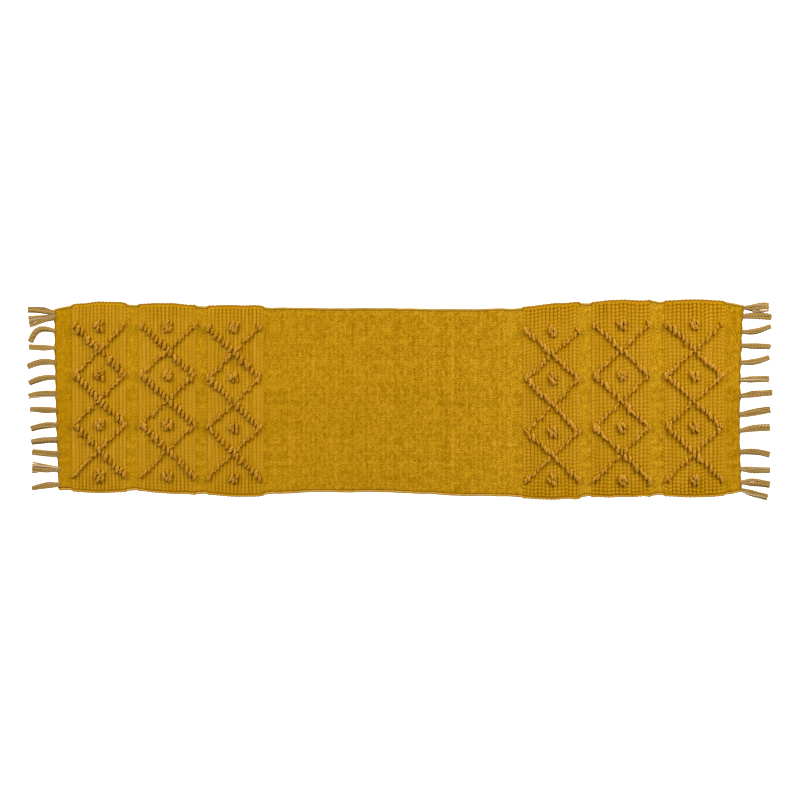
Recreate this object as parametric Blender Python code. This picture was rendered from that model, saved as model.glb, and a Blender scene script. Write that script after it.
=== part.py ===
"""A handwoven cotton table runner, as rigid panels hinged at the lines where the cloth folds.

Frame: metres, origin on the surface that the runner lies on, under the middle of the runner.
+X runs along the length, +Y across the width, +Z up. The underside of the cloth is at z = 0.
Each end has three ribbed bands with raised loops, plain stripes between them, a plain heading
and a row of tassels. The panels meet with small gaps, because solids may not touch.
"""

import bpy
import numpy as np
from mathutils import Matrix, Vector

# Driving dimensions, in metres.
HALF_LENGTH = 0.6858  # middle of the runner to the longest tassel tip
PLAIN_THICK = 0.0016  # plain weave
RIB_VALLEY = 0.0026  # top of a ribbed band between two ribs
RIB_CREST = 0.0042  # top of a rib
RIBS_PER_BAND = 15
LOOP_TOP = 0.0094  # top of the raised loops
LOOP_ROW_WIDTH = 0.0070  # width of a row of loops
LOOP_SPREAD_RIBS = 6.5  # the loop rows reach this many ribs to each side of a band's middle
TUFT_RADIUS = 0.0058
TUFT_ROOT = 0.0010  # a tuft starts this high, inside the band that it grows from
TUFT_TOP = 0.0090
TUFT_SIDES = 8

SEAM_GAP = 0.0003  # between pieces that the cloth joins
INNER_FOLD_GAP = 0.0038  # wide enough to fold up a quarter turn about an axis under the cloth
OUTER_FOLD_GAP = 0.0020  # wide enough to fold both ways about an axis in the cloth
INNER_FOLD_Z = -0.00015  # just under the cloth, so that an end folds flat underneath
OUTER_FOLD_Z = PLAIN_THICK / 2

# Where one weave changes to the next along the runner, from the middle out, and the fold lines.
SIDES = {
    "left": {
        "sign": -1,
        "inner_band": (0.2505, 0.3545),
        "middle_band": (0.3755, 0.4815),
        "outer_band": (0.5035, 0.6040),
        "folds": (0.2405, 0.3650, 0.4925),
    },
    "right": {
        "sign": 1,
        "inner_band": (0.2255, 0.3315),
        "middle_band": (0.3520, 0.4620),
        "outer_band": (0.4860, 0.5980),
        "folds": (0.2155, 0.3420, 0.4740),
    },
}

# y of the loop rows' corners and of the tufts, in each band. Handweaving, so no two are the same.
PATTERN_ROWS = {
    "left_inner": (0.1350, 0.0420, -0.0490, -0.1430),
    "left_middle": (0.1360, 0.0450, -0.0455, -0.1420),
    "left_outer": (0.1360, 0.0455, -0.0455, -0.1400),
    "right_inner": (0.1255, 0.0375, -0.0600, -0.1490),
    "right_middle": (0.1360, 0.0430, -0.0520, -0.1500),
    "right_outer": (0.1370, 0.0425, -0.0515, -0.1490),
}

# The two long edges: (x, y of the near edge, y of the far edge). The bands stand out a little
# and the plain weave draws in, as the weft tension differs.
LONG_EDGES = (
    (-0.6370, -0.1620, 0.1640),
    (-0.6040, -0.1685, 0.1750),
    (-0.5540, -0.1725, 0.1810),
    (-0.4925, -0.1695, 0.1758),
    (-0.4290, -0.1740, 0.1795),
    (-0.3650, -0.1740, 0.1720),
    (-0.3020, -0.1795, 0.1740),
    (-0.2505, -0.1765, 0.1715),
    (-0.1840, -0.1720, 0.1697),
    (0.0000, -0.1720, 0.1685),
    (0.0920, -0.1775, 0.1670),
    (0.1840, -0.1785, 0.1685),
    (0.2255, -0.1815, 0.1705),
    (0.2780, -0.1850, 0.1775),
    (0.3420, -0.1795, 0.1785),
    (0.4070, -0.1795, 0.1845),
    (0.4740, -0.1770, 0.1815),
    (0.5415, -0.1810, 0.1850),
    (0.5980, -0.1767, 0.1815),
    (0.6340, -0.1705, 0.1740),
)
# Each heading's outer edge: (x at the near corner, x halfway, x at the far corner).
HEADING_EDGE = {"left": (-0.6260, -0.6330, -0.6365), "right": (0.6290, 0.6255, 0.6335)}

# Tassels, from the far edge to the near one: (root y, tip y, sideways bow, half width at the
# tip, how far the tip stops short of the longest one).
TASSELS = {
    "left": (
        (0.1600, 0.1660, 0.0020, 0.0052, 0.0006),
        (0.1500, 0.1430, -0.0010, 0.0088, 0.0024),
        (0.1260, 0.1095, 0.0050, 0.0044, 0.0048),
        (0.0950, 0.0965, -0.0005, 0.0042, 0.0024),
        (0.0670, 0.0600, 0.0045, 0.0040, 0.0000),
        (0.0400, 0.0300, 0.0030, 0.0042, 0.0024),
        (0.0100, 0.0060, 0.0020, 0.0052, 0.0019),
        (-0.0200, -0.0180, 0.0010, 0.0042, 0.0044),
        (-0.0480, -0.0540, 0.0025, 0.0044, 0.0061),
        (-0.0740, -0.0780, 0.0010, 0.0046, 0.0068),
        (-0.1010, -0.0965, 0.0000, 0.0050, 0.0085),
        (-0.1290, -0.1255, 0.0010, 0.0080, 0.0085),
        (-0.1575, -0.1640, 0.0015, 0.0040, 0.0085),
    ),
    "right": (
        (0.1690, 0.1705, 0.0000, 0.0080, 0.0065),
        (0.1530, 0.1515, 0.0010, 0.0052, 0.0017),
        (0.1250, 0.1350, -0.0030, 0.0044, 0.0028),
        (0.0990, 0.0970, 0.0010, 0.0044, 0.0033),
        (0.0690, 0.0780, -0.0030, 0.0046, 0.0057),
        (0.0360, 0.0370, 0.0010, 0.0046, 0.0056),
        (0.0070, 0.0130, 0.0005, 0.0046, 0.0000),
        (-0.0290, -0.0190, 0.0010, 0.0052, 0.0037),
        (-0.0580, -0.0520, 0.0020, 0.0050, 0.0043),
        (-0.0970, -0.1020, 0.0035, 0.0054, 0.0048),
        (-0.1280, -0.1310, -0.0010, 0.0050, 0.0043),
        (-0.1530, -0.1560, 0.0020, 0.0058, 0.0043),
        (-0.1665, -0.1795, -0.0015, 0.0046, 0.0090),
    ),
}
TASSEL_ROOT = 0.0016  # half the thickness of a tassel where it leaves the cloth
TASSEL_HEIGHT = 0.0030  # half the thickness of its body, which lies flattened
TASSEL_AXIS_OUT = 0.0021  # the root's hinge line lies this far outside the heading
TASSEL_SIDES = 6

EDGE_STEP = 0.021  # spacing of points along a plain panel's long edges

MUSTARD = (0.47, 0.22, 0.012)
LOOP_TAN = (0.54, 0.28, 0.04)
WARP_TAN = (0.38, 0.22, 0.07)


def clear_scene():
    for item in list(bpy.data.objects):
        bpy.data.objects.remove(item, do_unlink=True)


def make_material(name, colour, roughness):
    material = bpy.data.materials.new(name)
    material.use_nodes = True
    shader = material.node_tree.nodes["Principled BSDF"]
    shader.inputs["Base Color"].default_value = (*colour, 1.0)
    shader.inputs["Roughness"].default_value = roughness
    shader.inputs["Metallic"].default_value = 0.0
    material.diffuse_color = (*colour, 1.0)
    return material


def make_object(name, points, faces, material, origin=(0, 0, 0)):
    """A mesh object whose points are given in the runner's frame and kept relative to origin."""
    mesh = bpy.data.meshes.new(name)
    mesh.from_pydata([Vector(p) - Vector(origin) for p in points], [], faces)
    mesh.materials.append(material)
    item = bpy.data.objects.new(name, mesh)
    item.location = origin
    bpy.context.scene.collection.objects.link(item)
    return item


def hermite(x, xs, ys):
    """Smooth curve through the points (xs, ys)."""
    slopes = np.gradient(ys, xs)
    k = int(np.clip(np.searchsorted(xs, x) - 1, 0, len(xs) - 2))
    width = xs[k + 1] - xs[k]
    t = (x - xs[k]) / width
    return float(
        (2 * t**3 - 3 * t**2 + 1) * ys[k]
        + (t**3 - 2 * t**2 + t) * width * slopes[k]
        + (3 * t**2 - 2 * t**3) * ys[k + 1]
        + (t**3 - t**2) * width * slopes[k + 1]
    )


def long_edges(x):
    """y of the near and the far edge at x."""
    xs, near, far = np.array(LONG_EDGES).T
    return hermite(x, xs, near), hermite(x, xs, far)


def heading_edge(side, y):
    """x of the heading's outer edge at y: a parabola through its corners and its middle."""
    near_x, middle_x, far_x = HEADING_EDGE[side]
    near_y, far_y = long_edges(near_x)[0], long_edges(far_x)[1]
    points = ((near_y, near_x), (0.0, middle_x), (far_y, far_x))
    total = 0.0
    for i, (yi, xi) in enumerate(points):
        share = 1.0
        for j, (yj, _) in enumerate(points):
            if i != j:
                share *= (y - yj) / (yi - yj)
        total += share * xi
    return total


def make_panel(name, stations, tops, material):
    """A closed slab between the long edges, its top at tops[i] over each x in stations."""
    points, faces = [], []
    for x, top in zip(stations, tops):
        near, far = long_edges(x)
        points += [(x, near, 0), (x, far, 0), (x, far, top), (x, near, top)]
    for i in range(len(stations) - 1):
        a, b = 4 * i, 4 * i + 4
        for k in range(4):
            m = (k + 1) % 4
            faces.append((a + k, a + m, b + m, b + k))
    last = 4 * (len(stations) - 1)
    faces.append((3, 2, 1, 0))
    faces.append((last, last + 1, last + 2, last + 3))
    return make_object(name, points, faces, material)


def plain_panel(name, x_low, x_high, material):
    count = max(2, int(round((x_high - x_low) / EDGE_STEP)) + 1)
    stations = np.linspace(x_low, x_high, count)
    return make_panel(name, stations, [PLAIN_THICK] * count, material)


def ribbed_band(name, x_low, x_high, rows, material):
    """Ribs run across the runner. Four tufts grow from the band's middle line."""
    stations = np.linspace(x_low, x_high, 2 * RIBS_PER_BAND + 1)
    tops = [RIB_CREST if i % 2 else RIB_VALLEY for i in range(len(stations))]
    band = make_panel(name, stations, tops, material)
    middle = (x_low + x_high) / 2
    for row, y in enumerate(rows):
        tuft = make_tuft(f"{name}_tuft_{row + 1}", (middle, y), material)
        union = band.modifiers.new(f"tuft_{row + 1}", "BOOLEAN")
        union.operation = "UNION"
        union.solver = "EXACT"
        union.object = tuft
    return band


def make_tuft(name, place, material):
    """A guide for the union: a short cone stump with a narrower top."""
    points, faces = [], []
    for z, radius in ((TUFT_ROOT, TUFT_RADIUS), (TUFT_TOP, 0.7 * TUFT_RADIUS)):
        for k in range(TUFT_SIDES):
            turn = 2 * np.pi * (k + 0.5) / TUFT_SIDES
            points.append((place[0] + radius * np.cos(turn), place[1] + radius * np.sin(turn), z))
    for k in range(TUFT_SIDES):
        m = (k + 1) % TUFT_SIDES
        faces.append((k, m, TUFT_SIDES + m, TUFT_SIDES + k))
    faces.append(tuple(reversed(range(TUFT_SIDES))))
    faces.append(tuple(range(TUFT_SIDES, 2 * TUFT_SIDES)))
    tuft = make_object(name, points, faces, material)
    tuft.hide_render = True
    tuft.display_type = "WIRE"
    return tuft


def zigzag(name, middle, reach, rows, z_low, z_high, material):
    """A ribbon that swings from one side of the band to the other between the pattern rows."""
    path = [Vector((middle + (reach if i % 2 else -reach), y)) for i, y in enumerate(rows)]
    sides = []
    for i, here in enumerate(path):
        before = (here - path[i - 1]).normalized() if i else None
        after = (path[i + 1] - here).normalized() if i + 1 < len(path) else None
        along = ((before or after) + (after or before)).normalized()
        across = Vector((-along.y, along.x))
        leg = after or before
        half = LOOP_ROW_WIDTH / 2 / abs(across.dot(Vector((-leg.y, leg.x))))
        sides.append((here - half * across, here + half * across))
    points, faces = [], []
    for right, left in sides:
        points += [(*right, z_low), (*left, z_low), (*left, z_high), (*right, z_high)]
    for i in range(len(path) - 1):
        a, b = 4 * i, 4 * i + 4
        for k in range(4):
            m = (k + 1) % 4
            faces.append((a + k, b + k, b + m, a + m))
    last = 4 * (len(path) - 1)
    faces.append((0, 1, 2, 3))
    faces.append((last + 3, last + 2, last + 1, last))
    return make_object(name, points, faces, material)


def loop_rows(name, x_low, x_high, rows, material):
    """Two zigzags that cross: an X, two diamonds and an X, standing just clear of the ribs."""
    middle = (x_low + x_high) / 2
    reach = LOOP_SPREAD_RIBS * (x_high - x_low) / RIBS_PER_BAND
    z_low, z_high = RIB_CREST + SEAM_GAP, LOOP_TOP
    ribbon = zigzag(name, middle, reach, rows, z_low, z_high, material)
    inset = 0.0002
    heights = z_low + inset, z_high - inset
    crossing = zigzag(name + "_crossing", middle, -reach, rows, *heights, material)
    crossing.hide_render = True
    crossing.display_type = "WIRE"
    union = ribbon.modifiers.new("crossing", "BOOLEAN")
    union.operation = "UNION"
    union.solver = "EXACT"
    union.object = crossing
    return ribbon


def make_heading(side, inner_x, material):
    """The plain strip past the outer band, up to the slightly uneven cut edge."""
    near_x, _, far_x = HEADING_EDGE[side]
    steps = 12
    near_y, far_y = long_edges(near_x)[0], long_edges(far_x)[1]
    outline = [(inner_x, long_edges(inner_x)[1]), (inner_x, long_edges(inner_x)[0])]
    for y in np.linspace(near_y, far_y, steps + 1):
        outline.append((heading_edge(side, y), y))
    if side == "left":
        outline.reverse()
    count = len(outline)
    points = [(x, y, 0.0) for x, y in outline] + [(x, y, PLAIN_THICK) for x, y in outline]
    faces = [tuple(reversed(range(count))), tuple(range(count, 2 * count))]
    for i in range(count):
        j = (i + 1) % count
        faces.append((i, j, count + j, count + i))
    return make_object(f"{side}_heading", points, faces, material)


def tassel_hinge(side, root_y):
    """Where a tassel swings: just outside the heading, one root radius above the surface."""
    sign = SIDES[side]["sign"]
    return Vector((heading_edge(side, root_y) + sign * TASSEL_AXIS_OUT, root_y, TASSEL_ROOT))


def make_tassel(side, number, shape, material):
    """A bundle of warp ends, lofted along X through upright rings: a rounded root inside the
    hinge's clearance circle, a short neck, then a flattened body that bows to one side."""
    root_y, tip_y, bow, tip_half_width, short = shape
    sign = SIDES[side]["sign"]
    hinge = tassel_hinge(side, root_y)
    length = HALF_LENGTH - short - abs(hinge.x)
    body = min(tip_half_width, 0.0046)
    rings = [  # distance from the hinge, half width, half height
        (-0.0017, 0.0007, 0.0007),
        (-0.0010, 0.0013, 0.0013),
        (0.0000, TASSEL_ROOT, TASSEL_ROOT),
        (0.0045, 0.75 * body, 0.0026),
        (0.30 * length, body, TASSEL_HEIGHT),
        (0.65 * length, 0.6 * body + 0.4 * tip_half_width, TASSEL_HEIGHT),
        (length, tip_half_width, 0.0026),
    ]
    points, faces = [], []
    for distance, half_width, half_height in rings:
        share = max(0.0, distance / length)
        y = root_y + (tip_y - root_y) * share**1.3 + bow * np.sin(np.pi * share)
        z = max(half_height, TASSEL_ROOT)
        for k in range(TASSEL_SIDES):
            turn = 2 * np.pi * k / TASSEL_SIDES
            points.append(
                (
                    hinge.x + sign * distance,
                    y + half_width * np.cos(turn),
                    z + half_height * np.sin(turn),
                )
            )
    for i in range(len(rings) - 1):
        for k in range(TASSEL_SIDES):
            m = (k + 1) % TASSEL_SIDES
            a, b = i * TASSEL_SIDES, (i + 1) * TASSEL_SIDES
            faces.append((a + k, a + m, b + m, b + k))
    faces.append(tuple(reversed(range(TASSEL_SIDES))))
    faces.append(tuple(range(len(points) - TASSEL_SIDES, len(points))))
    if sign < 0:
        faces = [tuple(reversed(face)) for face in faces]
    return make_object(f"{side}_tassel_{number:02d}", points, faces, material, hinge)


def make_empty(name, place):
    empty = bpy.data.objects.new(name, None)
    empty.location = place
    bpy.context.scene.collection.objects.link(empty)
    return empty


def hang_on(child, parent):
    """Parents child without moving it."""
    bpy.context.view_layer.update()
    child.parent = parent
    child.matrix_parent_inverse = parent.matrix_world.inverted()


def span(sign, near_middle, far_from_middle):
    """Two distances from the runner's middle as (lower x, higher x) on that side."""
    return tuple(sorted((sign * near_middle, sign * far_from_middle)))


def make_end(side, cloth, loop_yarn, warp_yarn):
    """One end of the runner: three ribbed panels, a heading and the tassels, hung fold by fold."""
    layout = SIDES[side]
    sign = layout["sign"]
    folds = layout["folds"]
    half_seam, half_inner, half_outer = SEAM_GAP / 2, INNER_FOLD_GAP / 2, OUTER_FOLD_GAP / 2

    def add_plain(name, start, end):
        return plain_panel(f"{side}_{name}", *span(sign, start, end), cloth)

    def add_band(place):
        limits = span(sign, layout[place][0] + half_seam, layout[place][1] - half_seam)
        rows = PATTERN_ROWS[f"{side}_{place.replace('_band', '')}"]
        return [
            ribbed_band(f"{side}_{place}", *limits, rows, cloth),
            loop_rows(f"{side}_{place.replace('band', 'loops')}", *limits, rows, loop_yarn),
        ]

    inner, middle, outer = layout["inner_band"], layout["middle_band"], layout["outer_band"]
    groups = [
        [
            add_plain("fold_strip", folds[0] + half_inner, inner[0] - half_seam),
            *add_band("inner_band"),
            add_plain("inner_stripe_a", inner[1] + half_seam, folds[1] - half_outer),
        ],
        [
            add_plain("inner_stripe_b", folds[1] + half_outer, middle[0] - half_seam),
            *add_band("middle_band"),
            add_plain("outer_stripe_a", middle[1] + half_seam, folds[2] - half_outer),
        ],
        [
            add_plain("outer_stripe_b", folds[2] + half_outer, outer[0] - half_seam),
            *add_band("outer_band"),
            make_heading(side, sign * (outer[1] + half_seam), cloth),
        ],
    ]
    parent = None
    for fold, name, pieces in zip(folds, ("inner", "middle", "outer"), groups):
        height = INNER_FOLD_Z if name == "inner" else OUTER_FOLD_Z
        empty = make_empty(f"{side}_{name}_fold", (sign * fold, 0.0, height))
        if parent:
            hang_on(empty, parent)
        for piece in pieces:
            hang_on(piece, empty)
        parent = empty
    for number, shape in enumerate(TASSELS[side], start=1):
        hang_on(make_tassel(side, number, shape, warp_yarn), parent)


def main():
    clear_scene()
    cloth = make_material("mustard_cloth", MUSTARD, 0.9)
    loop_yarn = make_material("loop_yarn", LOOP_TAN, 0.9)
    warp_yarn = make_material("warp_yarn", WARP_TAN, 0.9)
    half = INNER_FOLD_GAP / 2
    left, right = SIDES["left"]["folds"][0], SIDES["right"]["folds"][0]
    plain_panel("centre_panel", half - left, right - half, cloth)
    for side in SIDES:
        make_end(side, cloth, loop_yarn, warp_yarn)
    bpy.context.view_layer.update()


main()
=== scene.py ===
"""Looks of the handwoven cotton table runner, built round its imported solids.

Metres, in the solids' own frame: +X along the runner, +Y across it, +Z up, the table at z = 0.
"""

import bpy
import numpy as np
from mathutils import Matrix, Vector


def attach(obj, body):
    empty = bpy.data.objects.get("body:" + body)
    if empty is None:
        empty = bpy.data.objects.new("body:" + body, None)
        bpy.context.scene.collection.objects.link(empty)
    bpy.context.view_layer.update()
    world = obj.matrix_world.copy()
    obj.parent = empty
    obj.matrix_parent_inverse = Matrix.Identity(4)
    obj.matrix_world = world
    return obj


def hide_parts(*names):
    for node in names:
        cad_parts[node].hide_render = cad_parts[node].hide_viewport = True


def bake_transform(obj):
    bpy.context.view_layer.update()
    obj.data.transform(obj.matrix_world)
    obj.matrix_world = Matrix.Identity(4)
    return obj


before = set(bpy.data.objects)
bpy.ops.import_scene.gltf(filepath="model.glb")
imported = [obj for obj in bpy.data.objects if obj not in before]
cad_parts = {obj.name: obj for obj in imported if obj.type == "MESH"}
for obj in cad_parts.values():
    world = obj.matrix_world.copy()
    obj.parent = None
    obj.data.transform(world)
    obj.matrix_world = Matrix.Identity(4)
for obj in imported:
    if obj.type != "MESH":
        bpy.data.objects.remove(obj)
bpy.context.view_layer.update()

# ---------------------------------------------------------------- camera, light, background

VIEW_WIDTH = 1.473  # what the camera takes in, side to side, at the height of the cloth
LENS, SENSOR = 100.0, 36.0
FLOOR_RADIUS, FLOOR_SIDES = 30.0, 96
FLOOR_Z = -0.56  # far enough below for both ends to hang down, as over a table's edges

scene = bpy.context.scene
scene.view_settings.view_transform = "Standard"

camera_data = bpy.data.cameras.new("camera")
camera_data.lens = LENS
camera_data.sensor_width = SENSOR
camera_data.clip_end = 50.0
camera = bpy.data.objects.new("camera", camera_data)
camera.location = (0.0, -0.0009, 0.0015 + VIEW_WIDTH * LENS / SENSOR)
scene.collection.objects.link(camera)
scene.camera = camera


def add_softbox(name, place, target, size, power, colour):
    data = bpy.data.lights.new(name, "AREA")
    data.shape = "RECTANGLE"
    data.size, data.size_y = size
    data.energy = power
    data.color = colour
    lamp = bpy.data.objects.new(name, data)
    lamp.location = place
    lamp.rotation_euler = (Vector(target) - Vector(place)).to_track_quat("-Z", "Y").to_euler()
    scene.collection.objects.link(lamp)


add_softbox("softbox_left", (-2.2, 1.75, 1.45), (0, 0, 0), (1.5, 1.5), 90.0, (1.0, 1.0, 0.95))
add_softbox("softbox_right", (2.2, 1.75, 1.45), (0, 0, 0), (1.5, 1.5), 112.0, (1.0, 0.98, 0.96))

world = bpy.data.worlds.new("studio")
world.use_nodes = True
world.node_tree.nodes["Background"].inputs["Color"].default_value = (1.0, 1.0, 1.0, 1.0)
world.node_tree.nodes["Background"].inputs["Strength"].default_value = 0.51
scene.world = world

# ---------------------------------------------------------------- shape of the cloth

HALF_LENGTH = 0.6858
RIBS_PER_BAND = 15
LOOP_SPREAD_RIBS = 7  # steps from a band's middle to the corners of its loop rows
LOOP_STEP_RIBS = 0.98  # width of such a step
PATTERNS = {  # how far off a band's middle its pattern lies, then y of the rows' corners and tufts
    "left_inner": (-0.0031, (0.1325, 0.0395, -0.0515, -0.1455)),
    "left_middle": (0.0010, (0.1360, 0.0450, -0.0455, -0.1420)),
    "left_outer": (0.0006, (0.1360, 0.0455, -0.0455, -0.1400)),
    "right_inner": (0.0024, (0.1261, 0.0381, -0.0594, -0.1484)),
    "right_middle": (0.0010, (0.1374, 0.0444, -0.0506, -0.1486)),
    "right_outer": (-0.0003, (0.1382, 0.0437, -0.0503, -0.1478)),
}

SIDES = {
    "left": {
        "sign": -1,
        "inner_band": (0.2505, 0.3545),
        "middle_band": (0.3755, 0.4815),
        "outer_band": (0.5035, 0.6040),
        "folds": (0.2405, 0.3650, 0.4925),
    },
    "right": {
        "sign": 1,
        "inner_band": (0.2255, 0.3315),
        "middle_band": (0.3520, 0.4620),
        "outer_band": (0.4860, 0.5980),
        "folds": (0.2155, 0.3420, 0.4740),
    },
}
LONG_EDGES = np.array(  # x, then y of the near and of the far edge
    (
        (-0.6370, -0.1620, 0.1640),
        (-0.6040, -0.1685, 0.1750),
        (-0.5540, -0.1725, 0.1810),
        (-0.4925, -0.1695, 0.1758),
        (-0.4290, -0.1740, 0.1795),
        (-0.3650, -0.1740, 0.1720),
        (-0.3020, -0.1795, 0.1740),
        (-0.2505, -0.1765, 0.1715),
        (-0.1840, -0.1720, 0.1697),
        (0.0000, -0.1720, 0.1685),
        (0.0920, -0.1775, 0.1670),
        (0.1840, -0.1785, 0.1685),
        (0.2255, -0.1815, 0.1705),
        (0.2780, -0.1850, 0.1775),
        (0.3420, -0.1795, 0.1785),
        (0.4070, -0.1795, 0.1845),
        (0.4740, -0.1770, 0.1815),
        (0.5415, -0.1810, 0.1850),
        (0.5980, -0.1767, 0.1815),
        (0.6340, -0.1705, 0.1740),
    )
)
# x of the heading's outer edge at the near edge, the middle and the far edge of the runner: as the
# solid has it, from which the tassels hang, and as the cloth is drawn
HEADING_EDGE = {"left": (-0.6260, -0.6330, -0.6365), "right": (0.6290, 0.6255, 0.6335)}
CLOTH_EDGE = {"left": (-0.6285, -0.6340, -0.6365), "right": (0.6280, 0.6265, 0.6325)}
TASSELS = {  # root y, tip y, sideways bow, half width at the tip, shortfall of the tip
    "left": (
        (0.1600, 0.1660, 0.0020, 0.0052, 0.0006),
        (0.1525, 0.1430, -0.0010, 0.0100, 0.0024),
        (0.1260, 0.1095, 0.0050, 0.0044, 0.0048),
        (0.0950, 0.0965, -0.0005, 0.0042, 0.0024),
        (0.0670, 0.0600, 0.0045, 0.0040, 0.0000),
        (0.0400, 0.0300, 0.0030, 0.0042, 0.0024),
        (0.0100, 0.0060, 0.0020, 0.0056, 0.0019),
        (-0.0200, -0.0180, 0.0010, 0.0042, 0.0044),
        (-0.0480, -0.0540, 0.0025, 0.0044, 0.0061),
        (-0.0740, -0.0780, 0.0010, 0.0046, 0.0068),
        (-0.1010, -0.0965, 0.0000, 0.0050, 0.0085),
        (-0.1290, -0.1255, 0.0010, 0.0095, 0.0085),
        (-0.1575, -0.1640, 0.0015, 0.0040, 0.0085),
    ),
    "right": (
        (0.1690, 0.1705, 0.0000, 0.0092, 0.0065),
        (0.1530, 0.1515, 0.0010, 0.0052, 0.0017),
        (0.1250, 0.1350, -0.0030, 0.0044, 0.0028),
        (0.0990, 0.0970, 0.0010, 0.0044, 0.0033),
        (0.0690, 0.0780, -0.0030, 0.0046, 0.0057),
        (0.0360, 0.0370, 0.0010, 0.0046, 0.0056),
        (0.0070, 0.0130, 0.0005, 0.0046, 0.0000),
        (-0.0290, -0.0190, 0.0010, 0.0052, 0.0037),
        (-0.0580, -0.0520, 0.0020, 0.0050, 0.0043),
        (-0.0970, -0.1020, 0.0035, 0.0054, 0.0048),
        (-0.1280, -0.1310, -0.0010, 0.0050, 0.0043),
        (-0.1530, -0.1560, 0.0020, 0.0058, 0.0043),
        (-0.1665, -0.1795, -0.0015, 0.0046, 0.0090),
    ),
}

WARPS = 106  # warp yarns, which run the whole length; they lie in pairs through the bands
WEFT_PITCH = 0.00235
HEM = 0.0052  # from the edge to the groove inside the rolled hem
BAND_HEM = 0.0038  # the same along a band
ROLL = 0.0022  # half the width of the roll
ROLL_HEIGHT = 0.0024
GROOVE_Z = 0.0010
SEAM_Z = 0.00105  # height of the top face where two pieces of cloth meet
SEAM_RELIEF = 0.26
BAND_SEAM_Z, BAND_SEAM_RELIEF = 0.00135, 0.50  # the same beside a ribbed band


def smooth_step(t):
    t = np.clip(t, 0.0, 1.0)
    return t * t * (3 - 2 * t)


def noise(seed, u, v=0.0):
    """A smooth random field, about -1 to 1, that changes over one unit of u and of v."""
    u, v = np.broadcast_arrays(np.asarray(u, float), np.asarray(v, float))
    lattice = np.random.default_rng(seed).uniform(-1, 1, (128, 128))
    i, j = np.floor(u).astype(int), np.floor(v).astype(int)
    s, t = smooth_step(u - i), smooth_step(v - j)
    i0, i1, j0, j1 = i % 128, (i + 1) % 128, j % 128, (j + 1) % 128
    low = lattice[i0, j0] * (1 - s) + lattice[i1, j0] * s
    high = lattice[i0, j1] * (1 - s) + lattice[i1, j1] * s
    return low * (1 - t) + high * t


def hermite(x, xs, ys):
    """Smooth curve through the points (xs, ys)."""
    slopes = np.gradient(ys, xs)
    k = np.clip(np.searchsorted(xs, x) - 1, 0, len(xs) - 2)
    width = xs[k + 1] - xs[k]
    t = (x - xs[k]) / width
    return (
        (2 * t**3 - 3 * t**2 + 1) * ys[k]
        + (t**3 - 2 * t**2 + t) * width * slopes[k]
        + (3 * t**2 - 2 * t**3) * ys[k + 1]
        + (t**3 - t**2) * width * slopes[k + 1]
    )


EDGE_SWELLS = np.array(  # x, spread along x, then how far the near and the far edge move in y
    (
        (-0.632, 0.014, -0.0042, 0.0020),
        (-0.583, 0.016, 0.0000, -0.0012),
        (-0.515, 0.018, 0.0000, 0.0024),
        (-0.472, 0.014, 0.0022, 0.0000),
        (-0.434, 0.014, 0.0010, -0.0010),
        (-0.372, 0.014, -0.0018, 0.0010),
        (-0.335, 0.030, 0.0000, 0.0015),
        (-0.265, 0.018, -0.0014, 0.0017),
        (-0.235, 0.012, 0.0010, -0.0014),
        (-0.100, 0.030, -0.0015, 0.0000),
        (0.070, 0.030, 0.0014, 0.0003),
        (0.208, 0.014, 0.0006, -0.0014),
        (0.326, 0.014, -0.0029, 0.0019),
        (0.385, 0.016, -0.0015, 0.0008),
        (0.430, 0.014, -0.0015, 0.0000),
        (0.463, 0.009, -0.0020, 0.0022),
        (0.624, 0.012, 0.0016, -0.0016),
    )
)

BAND_LIMITS = [
    tuple(sorted((layout["sign"] * a, layout["sign"] * b)))
    for layout in SIDES.values()
    for a, b in (layout["inner_band"], layout["middle_band"], layout["outer_band"])
]


def band_step(x):
    """How far the long edges stand out: positive just inside a band, negative just outside."""
    total = np.zeros_like(np.asarray(x, float))
    for low, high in BAND_LIMITS:
        inside = np.minimum(x - low, high - x)
        total += np.where(
            np.abs(inside) < 0.04,
            0.0016 * np.tanh(inside / 0.0028) * np.exp(-np.abs(inside) / 0.012),
            0.0,
        )
    return total


def long_edges(x):
    """y of the near and of the far edge at x."""
    x = np.asarray(x, float)
    xs, near, far = LONG_EDGES.T
    stand = band_step(x)
    place, spread, near_swell, far_swell = EDGE_SWELLS.T
    swell = np.exp(-(((x[..., None] - place) / spread) ** 2))
    return (
        hermite(x, xs, near) - stand + swell @ near_swell + 0.0004 * noise(11, x / 0.018),
        hermite(x, xs, far) + stand + swell @ far_swell + 0.0004 * noise(12, x / 0.018),
    )


def plain_edges(x):
    """y of the near and of the far edge at x, without the swells and the bands' steps."""
    xs, near, far = LONG_EDGES.T
    return float(hermite(x, xs, near)), float(hermite(x, xs, far))


def heading_edge(side, y, corners=HEADING_EDGE):
    """x of the heading's outer edge at y: a parabola through its three corners."""
    near_x, middle_x, far_x = corners[side]
    near_y, far_y = plain_edges(near_x)[0], plain_edges(far_x)[1]
    points = ((near_y, near_x), (0.0, middle_x), (far_y, far_x))
    total = 0.0
    for i, (yi, xi) in enumerate(points):
        share = 1.0
        for j, (yj, _) in enumerate(points):
            if i != j:
                share = share * (y - yj) / (yi - yj)
        total = total + share * xi
    return total


def lie(x, y):
    """How far the cloth rises off the table at (x, y) in its soft, shallow waves."""
    wave = noise(21, x / 0.085, y / 0.16) + 0.5 * noise(22, x / 0.035, y / 0.09)
    return 0.00028 * (1.3 + wave).clip(0, 3)


# ---------------------------------------------------------------- meshes


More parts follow.
